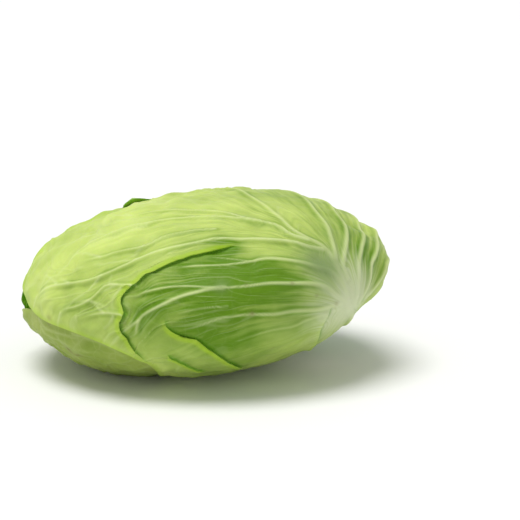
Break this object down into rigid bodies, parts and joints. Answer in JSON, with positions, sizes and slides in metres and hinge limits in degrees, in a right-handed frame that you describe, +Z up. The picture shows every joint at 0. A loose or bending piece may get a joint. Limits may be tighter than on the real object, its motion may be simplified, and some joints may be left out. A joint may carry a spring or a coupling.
{
  "type": "flat cabbage",
  "caption": "Flat-headed cabbage: a broad, oblate head of packed leaves in big ribbed, folded wrapper leaves, with a cut stem, lying on a small flat spot.",
  "frame": {"origin": "under the middle of the cabbage's box, on the surface that it lies on", "axes": "+X along the head towards the stem end, +Y away from the folded front, +Z up"},
  "size_m": [0.2294, 0.2112, 0.109],
  "materials": {
    "front_leaf": "fresh leaf, yellow-green with pale ribs, softly waxy",
    "back_leaf": "fresh leaf, mid green with pale ribs, softly waxy",
    "belly_leaf": "fresh leaf, olive green with pale ribs, softly waxy",
    "under_leaf": "fresh leaf, dark green, softly waxy",
    "packed_head": "packed pale leaves, smooth and softly waxy",
    "stem": "pale cut stem, matt"
  },
  "bodies": {
    "root": {"front_leaf": "front_leaf", "back_leaf": "back_leaf", "belly_leaf": "belly_leaf", "under_leaf": "under_leaf", "packed_head": "packed_head", "stem": "stem"}
  },
  "joints": []
}
